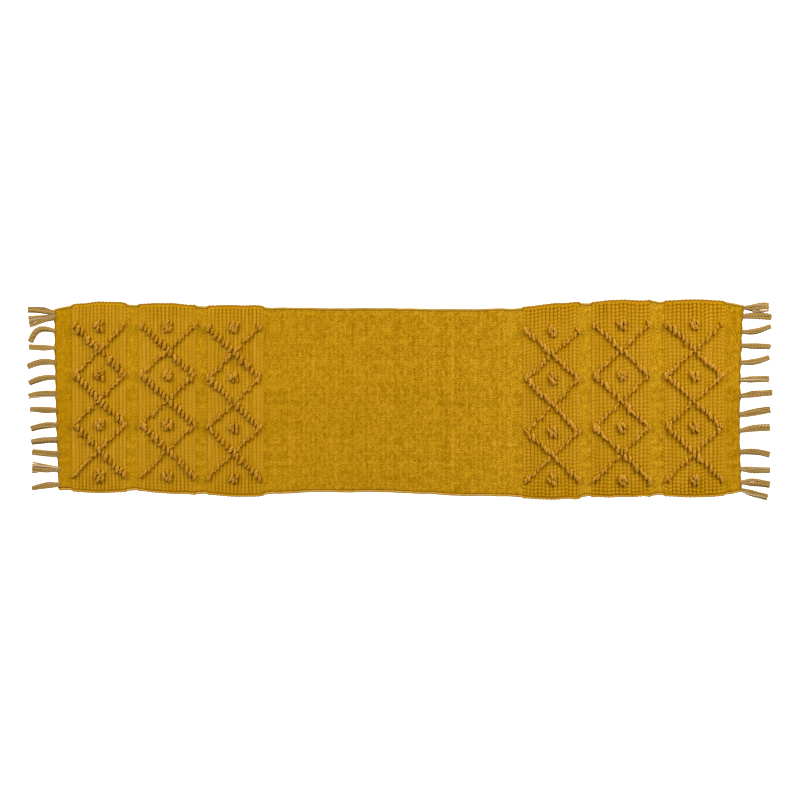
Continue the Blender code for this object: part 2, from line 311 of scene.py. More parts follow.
def make_piece(name, points, faces, material, flat=(), uv=None, relief=None, tone=None, hem=None):
    """A mesh object. faces is a list of arrays, one row a face; those whose place in the list is
    in flat are shaded flat. uv, relief, tone and hem hold one row for each point."""
    mesh = bpy.data.meshes.new(name)
    corner_counts = np.concatenate([np.full(len(f), f.shape[1]) for f in faces])
    corners = np.concatenate([f.ravel() for f in faces]).astype(np.int32)
    starts = np.concatenate(([0], np.cumsum(corner_counts)[:-1])).astype(np.int32)
    mesh.vertices.add(len(points))
    mesh.vertices.foreach_set("co", np.asarray(points, np.float32).ravel())
    mesh.loops.add(len(corners))
    mesh.loops.foreach_set("vertex_index", corners)
    mesh.polygons.add(len(starts))
    mesh.polygons.foreach_set("loop_start", starts)
    smooth = np.concatenate([np.full(len(f), i not in flat) for i, f in enumerate(faces)])
    mesh.polygons.foreach_set("use_smooth", smooth)
    mesh.update(calc_edges=True)
    if uv is not None:
        layer = mesh.uv_layers.new(name="yarn")
        layer.data.foreach_set("uv", np.asarray(uv, np.float32)[corners].ravel())
    for key, values in (("relief", relief), ("tone", tone), ("hem", hem)):
        if values is not None:
            layer = mesh.attributes.new(key, "FLOAT", "POINT")
            layer.data.foreach_set("value", np.asarray(values, np.float32).ravel())
    mesh.validate()
    mesh.materials.append(material)
    piece = bpy.data.objects.new(name, mesh)
    scene.collection.objects.link(piece)
    return piece


def stitch(top, bottom):
    """Triangles of the wall between two rows of points, given as (indices, y) from near to far,
    which share their first and last point."""
    (ti, ty), (bi, by) = top, bottom
    i = j = 0
    out = []
    while i < len(ti) - 1 or j < len(bi) - 1:
        if j == len(bi) - 1 or (i < len(ti) - 1 and ty[i + 1] <= by[j + 1]):
            out.append((ti[i], ti[i + 1], bi[j]))
            i += 1
        else:
            out.append((bi[j], ti[i], bi[j + 1]))
            j += 1
    return np.array([t for t in out if len(set(t)) == 3])


ROLL_TURNS = np.linspace(0.0, 0.86 * np.pi, 7)


def make_cloth(name, material, x, body, body_z, body_relief, body_tone, weft, options):
    """A closed sheet of cloth with a rolled hem along both long edges.

    x: stations, nominal. body: positions 0 to 1 between the two hems. body_z, body_relief and
    body_tone: a row for each station, a column for each body position. weft: yarn count of each
    station. options: hem and roll (width and height of the hem at each station), groove_z,
    groove_relief (near and far), bottom_z, bottom (number of points across the underside), edge
    (how far the long edges draw in) and bend, which moves a point's nominal x.
    """
    near, far = long_edges(x)
    near = near + options.get("edge", 0.0)
    far = far - options.get("edge", 0.0)
    n, half, hem_width = len(x), options["roll"] / 2, options["hem"]
    roll_h = ROLL * (hem_width / HEM)[:, None] * (1 - np.cos(ROLL_TURNS))
    roll_z = half[:, None] * (1 + np.sin(ROLL_TURNS))
    roll_z[:, -1] = 0.35 * roll_z[:, -1] + 0.65 * options["groove_z"]
    width = far - near
    body_y = (near + hem_width)[:, None] + (width - 2 * hem_width)[:, None] * body
    under = np.linspace(1.0, 0.0, options["bottom"])
    under_y = (near + 0.0016)[:, None] + (width - 0.0032)[:, None] * under
    y = np.concatenate(
        [near[:, None] + roll_h, body_y, (far[:, None] - roll_h)[:, ::-1], under_y], 1
    )
    z = np.concatenate(
        [roll_z, body_z, roll_z[:, ::-1], np.tile(options["bottom_z"][:, None], under.shape)], 1
    )
    # painted shade: each hem roll is drawn darker on its sides than on its top, and the groove
    # inside it as dark as groove_relief sets
    roll_relief = np.tile(0.30 + 0.5 * np.sin(ROLL_TURNS), (n, 1))
    near_groove, far_groove = options["groove_relief"]
    near_relief = roll_relief.copy()
    near_relief[:, -1], roll_relief[:, -1] = near_groove, far_groove
    body_relief[:, 0], body_relief[:, -1] = near_groove, far_groove
    # painted shadow: the outer points of the near roll are drawn dark, a contact shadow along the
    # near edge
    near_relief[:, :3] = (-0.4, -0.2, 0.2)
    # painted highlight: the hem rolls are drawn a paler tan on their outer sides, carried by the
    # hem attribute
    roll_highlight = np.tile(np.cos(ROLL_TURNS / 2) ** 1.5, (n, 1))
    hem_tone = 0.6 * noise(31, x / 0.009)[:, None] + np.zeros(len(ROLL_TURNS))
    relief = np.concatenate(
        [near_relief, body_relief, roll_relief[:, ::-1], np.full((n, len(under)), 0.55)], 1
    )
    tone = np.concatenate([hem_tone, body_tone, hem_tone[:, ::-1], np.zeros((n, len(under)))], 1)
    near_roll_highlight = roll_highlight.copy()
    # the near roll's outermost points get little or none of the painted highlight, where the
    # painted contact shadow lies
    near_roll_highlight[:, :3] = (0.0, 0.35, 0.9)
    hem = np.concatenate(
        [near_roll_highlight, np.zeros_like(body_tone), roll_highlight[:, ::-1], np.zeros((n, len(under)))], 1
    )
    count = y.shape[1]
    xx = np.tile(x[:, None], (1, count))
    if "bend" in options:
        xx = options["bend"](xx, y)
    z = z + lie(xx, y)
    top_count = count - len(under)
    v = (y - (near + hem_width)[:, None]) / (width - 2 * hem_width)[:, None] * WARPS
    u = np.tile(np.asarray(weft, float)[:, None], (1, count))
    index = np.arange(n * count).reshape(n, count)
    here, after = index[:-1], index[1:]
    quads = np.stack(
        [here, after, np.roll(after, -1, axis=1), np.roll(here, -1, axis=1)], -1
    ).reshape(-1, 4)
    walls = []
    for row, flip in ((0, False), (n - 1, True)):
        top = (index[row, :top_count], y[row, :top_count])
        below = np.concatenate([[0], np.arange(count - 1, top_count - 1, -1), [top_count - 1]])
        wall = stitch(top, (index[row, below], y[row, below]))
        walls.append(wall[:, ::-1] if flip else wall)
    if x[-1] < x[0]:
        quads = quads[:, ::-1]
        walls = [wall[:, ::-1] for wall in walls]
    return make_piece(
        name,
        np.stack([xx, y, z], -1).reshape(-1, 3),
        [quads, *walls],
        material,
        flat=(1, 2),
        uv=np.stack([u, v], -1).reshape(-1, 2),
        relief=relief,
        tone=tone,
        hem=hem,
    )


# heights in the plain weave: where a weft or a warp lies on top, and between the yarns
WEFT_OVER_Z, WARP_OVER_Z = 0.00182, 0.00128
BETWEEN_WARPS_Z, BETWEEN_WEFTS_Z, HOLE_Z = 0.00108, 0.00094, 0.00078
WEAVE_MIDDLE_Z = 0.0012
WARP_TONE = np.random.default_rng(41).normal(0, 0.45, WARPS + 2)
TONE_ALONG = (  # how much paler or darker the plain cloth is drawn, at places along the runner
    (-0.63, -0.49, -0.36, -0.20, 0.12, 0.34, 0.47, 0.61),
    (-0.60, 0.20, 0.25, 0.20, 0.60, 1.65, 1.65, -0.10),
)


def plain_top(x, wefts, first_weft, beside_band, sharpness):
    """Plain weave on a grid of half yarns: heights, relief and tone for each station and each
    half warp. An even place lies between two yarns and an odd one on a yarn's back."""
    a = np.arange(2 * wefts + 1)[:, None]
    b = np.arange(2 * WARPS + 1)[None, :]
    weft_back, warp_back = a % 2 == 1, b % 2 == 1
    weft_no, warp_no = (a - 1) // 2 + first_weft, (b - 1) // 2
    over = (weft_no + warp_no) % 2 == 0
    both = weft_back & warp_back
    z = np.where(both & over, WEFT_OVER_Z, np.where(both, WARP_OVER_Z, HOLE_Z))
    z = np.where(weft_back & ~warp_back, BETWEEN_WARPS_Z, z)
    z = np.where(~weft_back & warp_back, BETWEEN_WEFTS_Z, z)
    # painted highlight on the floats that lie on top and painted shade in the holes between the
    # yarns: relief sets the colour
    relief = np.where(both & over, 1.0, np.where(both, 0.42, 0.08))
    relief = np.where(weft_back & ~warp_back, 0.46, relief)
    relief = np.where(~weft_back & warp_back, 0.26, relief)
    weft_tone = np.random.default_rng(42).normal(0, 0.5, 4096)[weft_no % 4096]
    warp_tone = WARP_TONE[warp_no.clip(0, WARPS)]
    slub = noise(43, weft_no * 7.31 + 0.5, b / 7.0)
    cell = noise(44, a / 2.0, b / 2.0)
    patch = noise(45, a / 5.0, b / 4.0)
    tone = np.where(over, weft_tone + 1.1 * slub, warp_tone) + 1.8 * cell + 0.6 * patch
    z = z + both * (0.00007 * weft_tone + 0.00010 * slub + 0.00006 * cell)
    # the cloth is pressed flatter towards the left end
    crisp = sharpness * (1.0 + 0.35 * np.clip(x, -0.7, 0.7)[:, None] / 0.63)
    z = WEAVE_MIDDLE_Z + (z - WEAVE_MIDDLE_Z) * crisp
    relief = (0.45 + (relief - 0.45) * crisp).clip(0, 1)
    tone = tone * crisp + np.interp(x, *TONE_ALONG)[:, None]
    for row, band in zip((0, -1), beside_band):
        z[row] = BAND_SEAM_Z if band else SEAM_Z
        relief[row] = BAND_SEAM_RELIEF if band else SEAM_RELIEF
    z[:, [0, -1]] = GROOVE_Z
    return z, relief, tone


def add_plain(name, material, x_from, x_to, first_weft, beside_band=(False, False), heading=None):
    """A plain-woven piece between two places along the runner."""
    wefts = max(2, int(round(abs(x_to - x_from) / WEFT_PITCH)))
    stations = np.linspace(x_from, x_to, 2 * wefts + 1)
    sharpness = {"left": 0.85, "right": 0.68, None: 1.0}[heading]
    z, relief, tone = plain_top(stations, wefts, first_weft, beside_band, sharpness)
    weft = first_weft + np.arange(2 * wefts + 1) / 2.0
    options = {
        "groove_z": np.full(len(stations), GROOVE_Z),
        "groove_relief": (0.0, 0.34),
        "hem": np.full(len(stations), HEM),
        "roll": np.full(len(stations), ROLL_HEIGHT),
        "bottom_z": np.zeros(len(stations)),
        "bottom": 24,
    }
    options["roll"][1:-1] += 0.00022 * np.cos(np.pi * np.arange(2 * wefts - 1))
    if heading:
        share = (stations - x_from) / (x_to - x_from)
        sign = SIDES[heading]["sign"]
        roots = np.array([t[0] for t in TASSELS[heading]])

        def bend(xx, y):
            pull = np.exp(-(((y[..., None] - roots) / 0.0050) ** 2)).sum(-1)
            edge = heading_edge(heading, y, CLOTH_EDGE) + sign * (
                0.0022 * pull + 0.0005 * noise(51, y / 0.011)
            )
            return x_from + (edge - x_from) * share[:, None]

        options["bend"] = bend
        z[-4] += 0.0003
        z[-2] += 0.0006
        z[-1] = 0.0009
        # painted shade: the heading's outer edge, where the cloth turns down, is drawn darker
        relief[-3:] *= 0.6
        options["roll"][-5:] *= np.array([0.98, 0.94, 0.86, 0.74, 0.55])
    body = np.arange(2 * WARPS + 1) / (2.0 * WARPS)
    return make_cloth(name, material, stations, body, z, relief, tone, weft, options)


BAND_SHAPES = {  # pinch, crest_z, valley_z, grooves, loop_shade
    "left": (0.32, 0.0040, 0.0022, (0.84, 0.30), 0.60),
    "right": (0.9, 0.0042, 0.0021, (0.80, 0.32), 0.70),
}
RIB_STEPS, ROW_STEPS = 8, 6
ROWS = WARPS // 2


def add_band(
    name, material, low, high, pattern, seed, pinch, crest_z, valley_z, grooves, loop_shade
):
    """A ribbed band: thick cords across the runner, drawn in by a pair of warp yarns at each row.

    pinch: how hard the warps draw the cords in. crest_z, valley_z: height of the cords and of the
    grooves between them. grooves: how deep these are in the middle of the runner's width and how
    much deeper by a hem. loop_shade: how dark the painted shadow of each loop is on the cloth.
    """
    stations = np.linspace(low, high, RIBS_PER_BAND * RIB_STEPS + 1)
    rib = np.arange(len(stations)) / RIB_STEPS
    s = (rib - np.floor(rib))[:, None] - 0.5
    s[-1] = 0.5
    rib_no = np.minimum(np.floor(rib), RIBS_PER_BAND - 1)[:, None]
    body = np.arange(ROWS * ROW_STEPS + 1) / (ROWS * ROW_STEPS)
    row = (body * ROWS)[None, :]
    near, far = long_edges(stations)
    # the cords sink into the hem, and into the seams at both sides of the band
    window = smooth_step(np.minimum(stations - low, high - stations) / 0.006)
    hem_width = HEM - (HEM - BAND_HEM) * window
    inset = body[None, :] * (far - near - 2 * hem_width)[:, None]
    from_hem = np.minimum(inset, (far - near - 2 * hem_width)[:, None] - inset)
    strength = pinch * (0.55 + 0.75 * np.exp(-from_hem / 0.022)) * (
        1 + 0.35 * noise(seed, rib_no * 3.7, row / 3.0)
    )
    wander = 0.13 * noise(seed + 1, rib_no * 5.3, row / 2.0)
    wander = wander + 0.30 * noise(seed + 6, rib_no * 0.9, row / 7.0)
    lean = row - 0.34 * s + wander
    bead = (0.5 - 0.5 * np.cos(2 * np.pi * lean)) ** 0.8
    hole = 0.5 + 0.5 * np.cos(2 * np.pi * (row + wander))
    ridge = (1 - np.abs(2 * s) ** 2.3).clip(0) ** 0.72
    rib_size = 1 + 0.07 * noise(seed + 2, rib_no * 9.1, row / 14.0)
    outer = np.minimum(rib_no, RIBS_PER_BAND - 1 - rib_no)  # the outermost ribs lie lower
    lower = np.where(outer == 0, 0.78, np.where(outer == 1, 0.92, 1.0))
    rib_size = rib_size * lower
    crest = crest_z * rib_size - 0.0011 * strength * (1 - bead)
    valley = valley_z - 0.0009 * hole * strength.clip(0, 1.2)
    groove = grooves[0] + grooves[1] * np.exp(-((from_hem / 0.030) ** 2))
    groove = groove * (1 + 0.28 * noise(seed + 8, rib_no / 2.2, row / 5.0))
    z = crest - (crest - valley) * (1 - ridge) * groove.clip(0.2, 1.25)
    groove_z = GROOVE_Z + 0.0009 * window
    z = groove_z[:, None] + (z - groove_z[:, None]) * smooth_step(from_hem / 0.0035)
    z[[0, -1]] = BAND_SEAM_Z
    # relief, which sets the painted shade and highlight, follows the cords' height, darker still
    # where the warps pinch them between beads
    depth = (z / lower - 0.0009) / 0.0033
    relief = (0.06 + 0.94 * depth.clip(0, 1) ** 0.9) * (1 - 0.30 * (1 - bead) * ridge * strength)
    y = (near + hem_width)[:, None] + inset
    shade = np.zeros_like(z)
    sign = 1 if low > 0 else -1
    for loop in loop_places(pattern, low, high, np.random.default_rng(seed + 10)):
        # painted shadow: the cloth is drawn darker beside each loop, offset to the side where its
        # shadow falls
        shadow_x = loop[0] + (0.0012 if loop[3] < 0 else -0.0026 * sign)
        shadow_y = loop[1] - (0.0022 if loop[3] < 0 else 0.0012)
        rows = np.abs(stations - shadow_x) < 0.011
        away_x = (stations[rows, None] - shadow_x) / 0.0030
        away_y = (y[rows] - shadow_y) / 0.0050
        away = away_x**2 + away_y**2
        loop_shadow = (1.0 if loop[3] >= 0 else 0.75) * np.exp(-(away**1.5) / 2)
        shade[rows] = np.maximum(shade[rows], loop_shadow)
    # painted shadow of the loops on the cloth
    relief = relief * (1 - loop_shade * shade)
    relief[[0, -1]] = BAND_SEAM_RELIEF
    cord_tone = np.random.default_rng(seed + 3).normal(0, 0.35, RIBS_PER_BAND)
    tone = (
        cord_tone[rib_no.astype(int)]
        + 0.7 * noise(seed + 4, rib_no * 3.3, row)
        + 0.5 * noise(seed + 5, 2.0 * rib[:, None], 0.5 * row)
    )
    tone = np.broadcast_to(tone, z.shape).copy()
    options = {
        "groove_z": groove_z,
        "groove_relief": (0.80 * window, 0.34 + 0.40 * window),
        "hem": hem_width,
        "roll": ROLL_HEIGHT + window * (0.0004 + 0.0003 * np.cos(2 * np.pi * s[:, 0])),
        "bottom_z": window * 0.0004 * (1 - np.cos(2 * np.pi * s[:, 0])) * 0.5,
        "bottom": 54,
        "edge": 0.00035 * window * -np.cos(2 * np.pi * s[:, 0]),
    }

    def bend(xx, y):  # no cord lies quite straight
        wave = noise(seed + 7, xx / 0.0093, y / 0.034)
        wave = wave + 0.5 * noise(seed + 9, xx / 0.0062, y / 0.013)
        return xx + 0.0006 * window[:, None] * wave

    options["bend"] = bend
    weft = rib * 3.0
    return make_cloth(name, material, stations, body, z, relief, tone, weft, options)


# ---------------------------------------------------------------- yarns


def sweep(paths, radius, side_axis, sides, lobe, turn, tone):
    """Closed two-ply yarns along paths (yarn, step, xyz), as points, faces, uv, relief, tone."""
    count, steps, _ = paths.shape
    tangent = np.gradient(paths, axis=1)
    tangent /= np.linalg.norm(tangent, axis=2, keepdims=True)
    side = side_axis - (side_axis * tangent).sum(-1, keepdims=True) * tangent
    side /= np.linalg.norm(side, axis=2, keepdims=True)
    up = np.cross(tangent, side)
    around = 2 * np.pi * np.arange(sides) / sides
    ply = np.cos(2 * (around[None, None, :] - turn[:, :, None]))
    reach = radius[:, :, None] * (1 + lobe * ply)
    points = (
        paths[:, :, None, :]
        + (reach * np.cos(around))[..., None] * side[:, :, None, :]
        + (reach * np.sin(around))[..., None] * up[:, :, None, :]
    )
    index = np.arange(count * steps * sides).reshape(count, steps, sides)
    here, after = index[:, :-1], index[:, 1:]
    quads = np.stack(
        [here, np.roll(here, -1, axis=2), np.roll(after, -1, axis=2), after], -1
    ).reshape(-1, 4)
    starts = index[:, 0, ::-1].reshape(-1, sides)
    ends = index[:, -1].reshape(-1, sides)
    length = np.concatenate(
        [np.zeros((count, 1)), np.cumsum(np.linalg.norm(np.diff(paths, axis=1), axis=2), 1)], 1
    )
    u = np.broadcast_to((length * 1000)[:, :, None], ply.shape)
    v = np.broadcast_to(around / (2 * np.pi) * 8, ply.shape)
    # painted shade between a yarn's two plies, lighter on each ply's crest
    relief = 0.5 + 0.5 * ply
    tones = np.broadcast_to(np.asarray(tone)[..., None], ply.shape)
    return (
        points.reshape(-1, 3),
        [quads, starts, ends],
        np.stack([u, v], -1).reshape(-1, 2),
        relief.reshape(-1),
        tones.reshape(-1),
    )


def join_sweeps(parts):
    """Several results of sweep as one."""
    points, faces, uv, relief, tone = [], [], [], [], []
    base = 0
    for p, f, t, r, c in parts:
        points.append(p)
        faces += [rows + base for rows in f]
        uv.append(t)
        relief.append(r)
        tone.append(c)
        base += len(p)
    return (
        np.concatenate(points),
        faces,
        np.concatenate(uv),
        np.concatenate(relief),
        np.concatenate(tone),
    )


LOOP_STEPS, LOOP_SIDES = 17, 12
PLY_LOBE = 0.15  # how far a yarn's two plies stand out, as a share of its radius
TUFT = (  # the loops of a tuft: place from its middle, size
    (-0.0056, 0.0006, 1.10),
    (-0.0010, 0.0052, 1.05),
    (0.0048, 0.0026, 1.10),
    (-0.0012, -0.0050, 1.05),
    (0.0046, -0.0058, 0.95),
)


def loop_places(pattern, low, high, rng):
    """Where the loops of one band stand: (x, y, size, way). way is 1 in a row that comes nearer
    as x grows, -1 in a row that goes farther, and 0 in a cluster."""
    aside, corner_rows = PATTERNS[pattern]
    middle, pitch = (low + high) / 2 + aside, (high - low) / RIBS_PER_BAND
    places = []
    for k in range(len(corner_rows) - 1):
        top, bottom = corner_rows[k], corner_rows[k + 1]
        for step in range(2 * LOOP_SPREAD_RIBS + 1):
            column = step - LOOP_SPREAD_RIBS
            y = top + (bottom - top) * step / (2 * LOOP_SPREAD_RIBS)
            for across in (-1, 1):
                if column == 0 and across < 0:
                    continue
                if step == 2 * LOOP_SPREAD_RIBS and k < 2:
                    continue
                x = middle + across * column * pitch * LOOP_STEP_RIBS
                places.append((x, y, 1.0, across))
    for k, y in enumerate(corner_rows):
        for across in (-1, 1):  # the corners are clusters
            x = middle + across * LOOP_SPREAD_RIBS * pitch * LOOP_STEP_RIBS
            if 0 < k < len(corner_rows) - 1:
                places.append((x - 0.0035 * across, y - 0.0035, 0.85, 0))
                places.append((x - 0.0035 * across, y + 0.0040, 0.85, 0))
            else:
                places.append((x - 0.0030 * across, y + 0.0035, 0.85, 0))
        for dx, dy, size in TUFT:
            places.append((middle + dx, y + dy, size, 0))
    return np.array(places) + rng.normal(0, 1, (len(places), 4)) * (0.0006, 0.0010, 0.11, 0)


LOOP_SHAPES = {  # by way: lean to the left and to the right of the middle, half, rise, radius
    1: (76, 100, 0.0056, 0.0037, 0.0027),
    -1: (64, 74, 0.0045, 0.0031, 0.0023),
    0: (80, 104, 0.0046, 0.0037, 0.0024),
}


def add_loops(name, material, pattern, low, high, seed):
    rng = np.random.default_rng(seed)
    places = loop_places(pattern, low, high, rng)
    count, middle_x = len(places), (low + high) / 2
    size = places[:, 2].clip(0.7, 1.2)
    shapes = np.array([LOOP_SHAPES[int(way)] for way in places[:, 3]])
    lean = np.radians(shapes[:, 1 if middle_x > 0 else 0] + rng.normal(0, 12, count))
    along = np.stack([np.cos(lean), np.sin(lean), np.zeros(count)], -1)
    across = np.stack([-np.sin(lean), np.cos(lean), np.zeros(count)], -1)
    t = np.linspace(0, 1, LOOP_STEPS)[None, :]
    half = (shapes[:, 2] * size)[:, None]
    rise = (shapes[:, 3] * size * (1 + 0.07 * rng.normal(0, 1, count)).clip(0.8, 1.12))[:, None]
    slump = (0.0007 * rng.normal(0, 1, count))[:, None]
    reach = -half * np.cos(np.pi * t) * (1 + 0.16 * np.sin(np.pi * t) ** 2)
    height = 0.0021 + rise * np.sin(np.pi * t) ** 0.55
    shift = slump * np.sin(np.pi * t)
    centre = np.stack([places[:, 0], places[:, 1], np.zeros(count)], -1)
    paths = (
        centre[:, None, :]
        + reach[..., None] * along[:, None, :]
        + shift[..., None] * across[:, None, :]
    )
    paths[..., 2] += height
    paths[..., 2] += lie(places[:, 0], places[:, 1])[:, None]
    radius = (shapes[:, 4] * size * (1 + 0.06 * rng.normal(0, 1, count)))[:, None] * (
        0.86 + 0.14 * np.sin(np.pi * t)
    )
    turn = rng.uniform(0, np.pi, count)[:, None] + 2.6 * np.pi * t
    # painted highlight: the loops of the right end are drawn paler
    right_highlight = 0.9 if middle_x > 0 else 0.0
    tone = np.broadcast_to(rng.normal(right_highlight, 0.7, count)[:, None], radius.shape)
    made = sweep(paths, radius, across[:, None, :], LOOP_SIDES, PLY_LOBE, turn, tone)
    points, faces, uv, relief, tone = made
    # painted shade: each loop is drawn darker towards its foot, darkest where it meets the cloth
    relief = (0.6 + 0.4 * relief) * smooth_step((points[:, 2] - 0.0028) / 0.0042)
    return make_piece(name, points, faces, material, flat=(1, 2), uv=uv, relief=relief, tone=tone)


YARN_STEPS, YARN_SIDES = 40, 8
YARN_RADIUS = 0.00128
HAIRS, HAIR_STEPS, HAIR_SIDES = 4, 4, 4  # hairs at each cut end
BUNDLE = (  # each yarn's place in a tassel: across, up
    (-0.90, 0.0),
    (-0.55, 0.0),
    (-0.18, 0.0),
    (0.18, 0.0),
    (0.55, 0.0),
    (0.90, 0.0),
    (-0.70, 1.0),
    (-0.36, 1.0),
    (0.0, 1.0),
    (0.36, 1.0),
    (0.70, 1.0),
)


CURLED = {("left", 3): (0.1050, 6.0)}  # tip y and how late the tassel turns to it
NECKED = {("left", 1), ("left", 4), ("right", 1)}  # tassels drawn in tightly at the root
UNDYED = {  # how many of a tassel's yarns hardly took the dye
    ("left", 2): 2,
    ("left", 3): 3,
    ("left", 7): 4,
    ("left", 12): 4,
    ("right", 1): 1,
    ("right", 5): 1,
    ("right", 6): 1,
    ("right", 11): 2,
    ("right", 13): 3,
}


def add_tassel(side, number, material):
    root_y, tip_y, bow, tip_half, short = TASSELS[side][number - 1]
    sign = SIDES[side]["sign"]
    seed = 700 + 40 * number + (0 if side == "left" else 1000)
    rng = np.random.default_rng(seed)
    edge_x = heading_edge(side, root_y)
    start_x = edge_x - sign * 0.0016
    end_x = sign * (HALF_LENGTH - short)
    count = len(BUNDLE)
    t = np.linspace(0, 1, YARN_STEPS)
    yarn_end = 1 - np.abs(rng.normal(0, 0.014, count))
    yarn_end[rng.integers(count)] = 1.0
    share = t[None, :] * yarn_end[:, None]
    x = start_x + (end_x - start_x) * share
    tip_y, power = CURLED.get((side, number), (tip_y, 1.3))
    middle_y = root_y + (tip_y - root_y) * share**power + bow * np.sin(np.pi * share)
    along = np.stack([np.gradient(x, axis=1), np.gradient(middle_y, axis=1)], -1)
    along /= np.linalg.norm(along, axis=2, keepdims=True)
    body_half = 0.0004 + 1.12 * min(tip_half, 0.0052)
    root = (0.66, 0.92) if side == "left" else (0.50, 0.72)
    root_half = (0.50 if (side, number) in NECKED else rng.uniform(*root)) * body_half
    half = root_half + (body_half - root_half) * smooth_step(share / 0.45)
    half = half + (tip_half - body_half) * smooth_step((share - 0.25) / 0.75)
    place = np.array(BUNDLE)
    roll = rng.uniform(-0.5, 0.5) + rng.normal(0, 1.1) * share  # the bundle turns a little
    offset, level = place[:, :1] + 0 * share, 2 * place[:, 1:] - 1 + 0 * share
    half = half * (1 + 0.10 * noise(seed + 80, share[0] * 3.0))
    swing = np.stack([noise(seed + k, share[k] * 2.3) for k in range(count)])
    offset = offset + 0.15 * swing
    aside = half * (offset * np.cos(0.35 * roll) - 0.25 * level * np.sin(roll))
    aside = aside * sign
    square = smooth_step(share / 0.25)  # the yarns leave the cloth straight
    x = x - aside * along[..., 1] * square
    y = middle_y + aside * (along[..., 0] * square + sign * (1 - square))
    lift = np.stack([noise(seed + 20 + k, share[k] * 3.1) for k in range(count)])
    z = 0.00215 + 0.00088 * level * np.cos(0.7 * roll) + 0.0005 * offset * np.sin(roll)
    z = z + 0.00022 * lift
    settle = smooth_step(share / 0.12)
    z = 0.0014 + (z - 0.0014) * (0.35 + 0.65 * settle)
    z = z.clip(0.00105, 0.0052)
    radius = YARN_RADIUS * (1 + 0.08 * rng.normal(0, 1, (count, 1))) * (
        1 + 0.06 * np.stack([noise(seed + 60 + k, share[k] * 14) for k in range(count)])
    )
    fan = 1 + 0.35 * smooth_step((tip_half - 0.0060) / 0.0030)
    radius = radius * (0.72 + 0.28 * smooth_step(share / 0.10)) * (1 + (fan - 1) * share)
    z = np.maximum(z, (1 + PLY_LOBE) * radius)  # no yarn sinks into the table
    paths = np.stack([x, y, z], -1)
    turn = rng.uniform(0, np.pi, (count, 1)) + 2 * np.pi * share * rng.uniform(4.0, 5.5, (count, 1))
    # painted highlight: where a yarn lies higher it is drawn paler, on top of its own random tone
    tone = (rng.normal(0, 0.7, (count, 1)) + 0.5 * lift).clip(-2, 1.25)
    pale = rng.permutation(count)[: UNDYED.get((side, number), 0)]
    tone[pale] += 1.9
    across = np.array((0.0, 1.0, 0.0))
    parts = [sweep(paths, radius, across, YARN_SIDES, PLY_LOBE, turn, tone)]

    # the cut ends fray into fine hairs
    tips, ends = np.repeat(paths[:, -1], HAIRS, 0), count * HAIRS
    away = np.stack(
        [
            sign * rng.uniform(0.0010, 0.0030, ends),
            rng.normal(0, 0.0011, ends),
            rng.uniform(-0.0006, 0.0009, ends),
        ],
        -1,
    )
    h = np.linspace(0, 1, HAIR_STEPS)[None, :, None]
    begin = tips + rng.normal(0, 0.00045, (ends, 3)) - (sign * 0.0012, 0, 0)
    hair_paths = begin[:, None, :] + away[:, None, :] * h + np.array((0, 0, -0.0004)) * h**2
    hair_paths[..., 2] = hair_paths[..., 2].clip(0.0003, 0.006)
    hair_radius = np.linspace(0.00026, 0.00009, HAIR_STEPS)[None, :] * np.ones((ends, 1))
    hair_paths[..., 0] = sign * np.minimum(sign * hair_paths[..., 0], HALF_LENGTH + 0.0008)
    parts.append(
        sweep(
            hair_paths,
            hair_radius,
            np.array((0.2, 0.9, 0.4)),
            HAIR_SIDES,
            0.0,
            np.zeros((ends, HAIR_STEPS)),
            np.full((ends, HAIR_STEPS), 0.9),
        )
    )
    points, faces, uv, relief, tone = join_sweeps(parts)
    return make_piece(
        f"{side}_tassel_{number:02d}_yarns",
        points,
        faces,
        material,
        flat=(1, 2, 4, 5),
        uv=uv,
        relief=relief,
        tone=tone,
    )


# ---------------------------------------------------------------- materials


class Nodes:
    """Short calls for a material's node tree."""

    def __init__(self, name):
        self.material = bpy.data.materials.new(name)
        self.material.use_nodes = True
        self.tree = self.material.node_tree
        self.shader = self.tree.nodes["Principled BSDF"]

    def add(self, kind, **inputs):
        node = self.tree.nodes.new(kind)
        for key, value in inputs.items():
            self.set(node.inputs[key.replace("_", " ")], value)
        return node

    def set(self, socket, value):
        if isinstance(value, bpy.types.NodeSocket):
            self.tree.links.new(value, socket)
        else:
            socket.default_value = value

    def math(self, operation, *values):
        node = self.tree.nodes.new("ShaderNodeMath")
        node.operation = operation
        for socket, value in zip(node.inputs, values):
            self.set(socket, value)
        return node.outputs[0]

    def attribute(self, name):
        node = self.tree.nodes.new("ShaderNodeAttribute")
        node.attribute_name = name
        return node.outputs["Fac"]

    def mix(self, factor, a, b, blend="MIX"):
        node = self.tree.nodes.new("ShaderNodeMix")
        node.data_type = "RGBA"
        node.blend_type = blend
        self.set(node.inputs["Factor"], factor)
        self.set(node.inputs["A"], a)
        self.set(node.inputs["B"], b)
        return node.outputs["Result"]

    def noise(self, vector, scale, detail=2.0):
        node = self.add("ShaderNodeTexNoise", Vector=vector, Scale=scale, Detail=detail)
        return node.outputs["Fac"]

    def stretch(self, vector, scale):
        node = self.tree.nodes.new("ShaderNodeMapping")
        self.set(node.inputs["Vector"], vector)
        node.inputs["Scale"].default_value = scale
        return node.outputs["Vector"]

    def uv(self):
        node = self.tree.nodes.new("ShaderNodeUVMap")
        node.uv_map = "yarn"
        return node.outputs["UV"]


def colour(*rgb):
    return (*rgb, 1.0)


# colour of the painted highlight on the hem rolls
HEM_ROLL_HIGHLIGHT = colour(0.345, 0.208, 0.052)


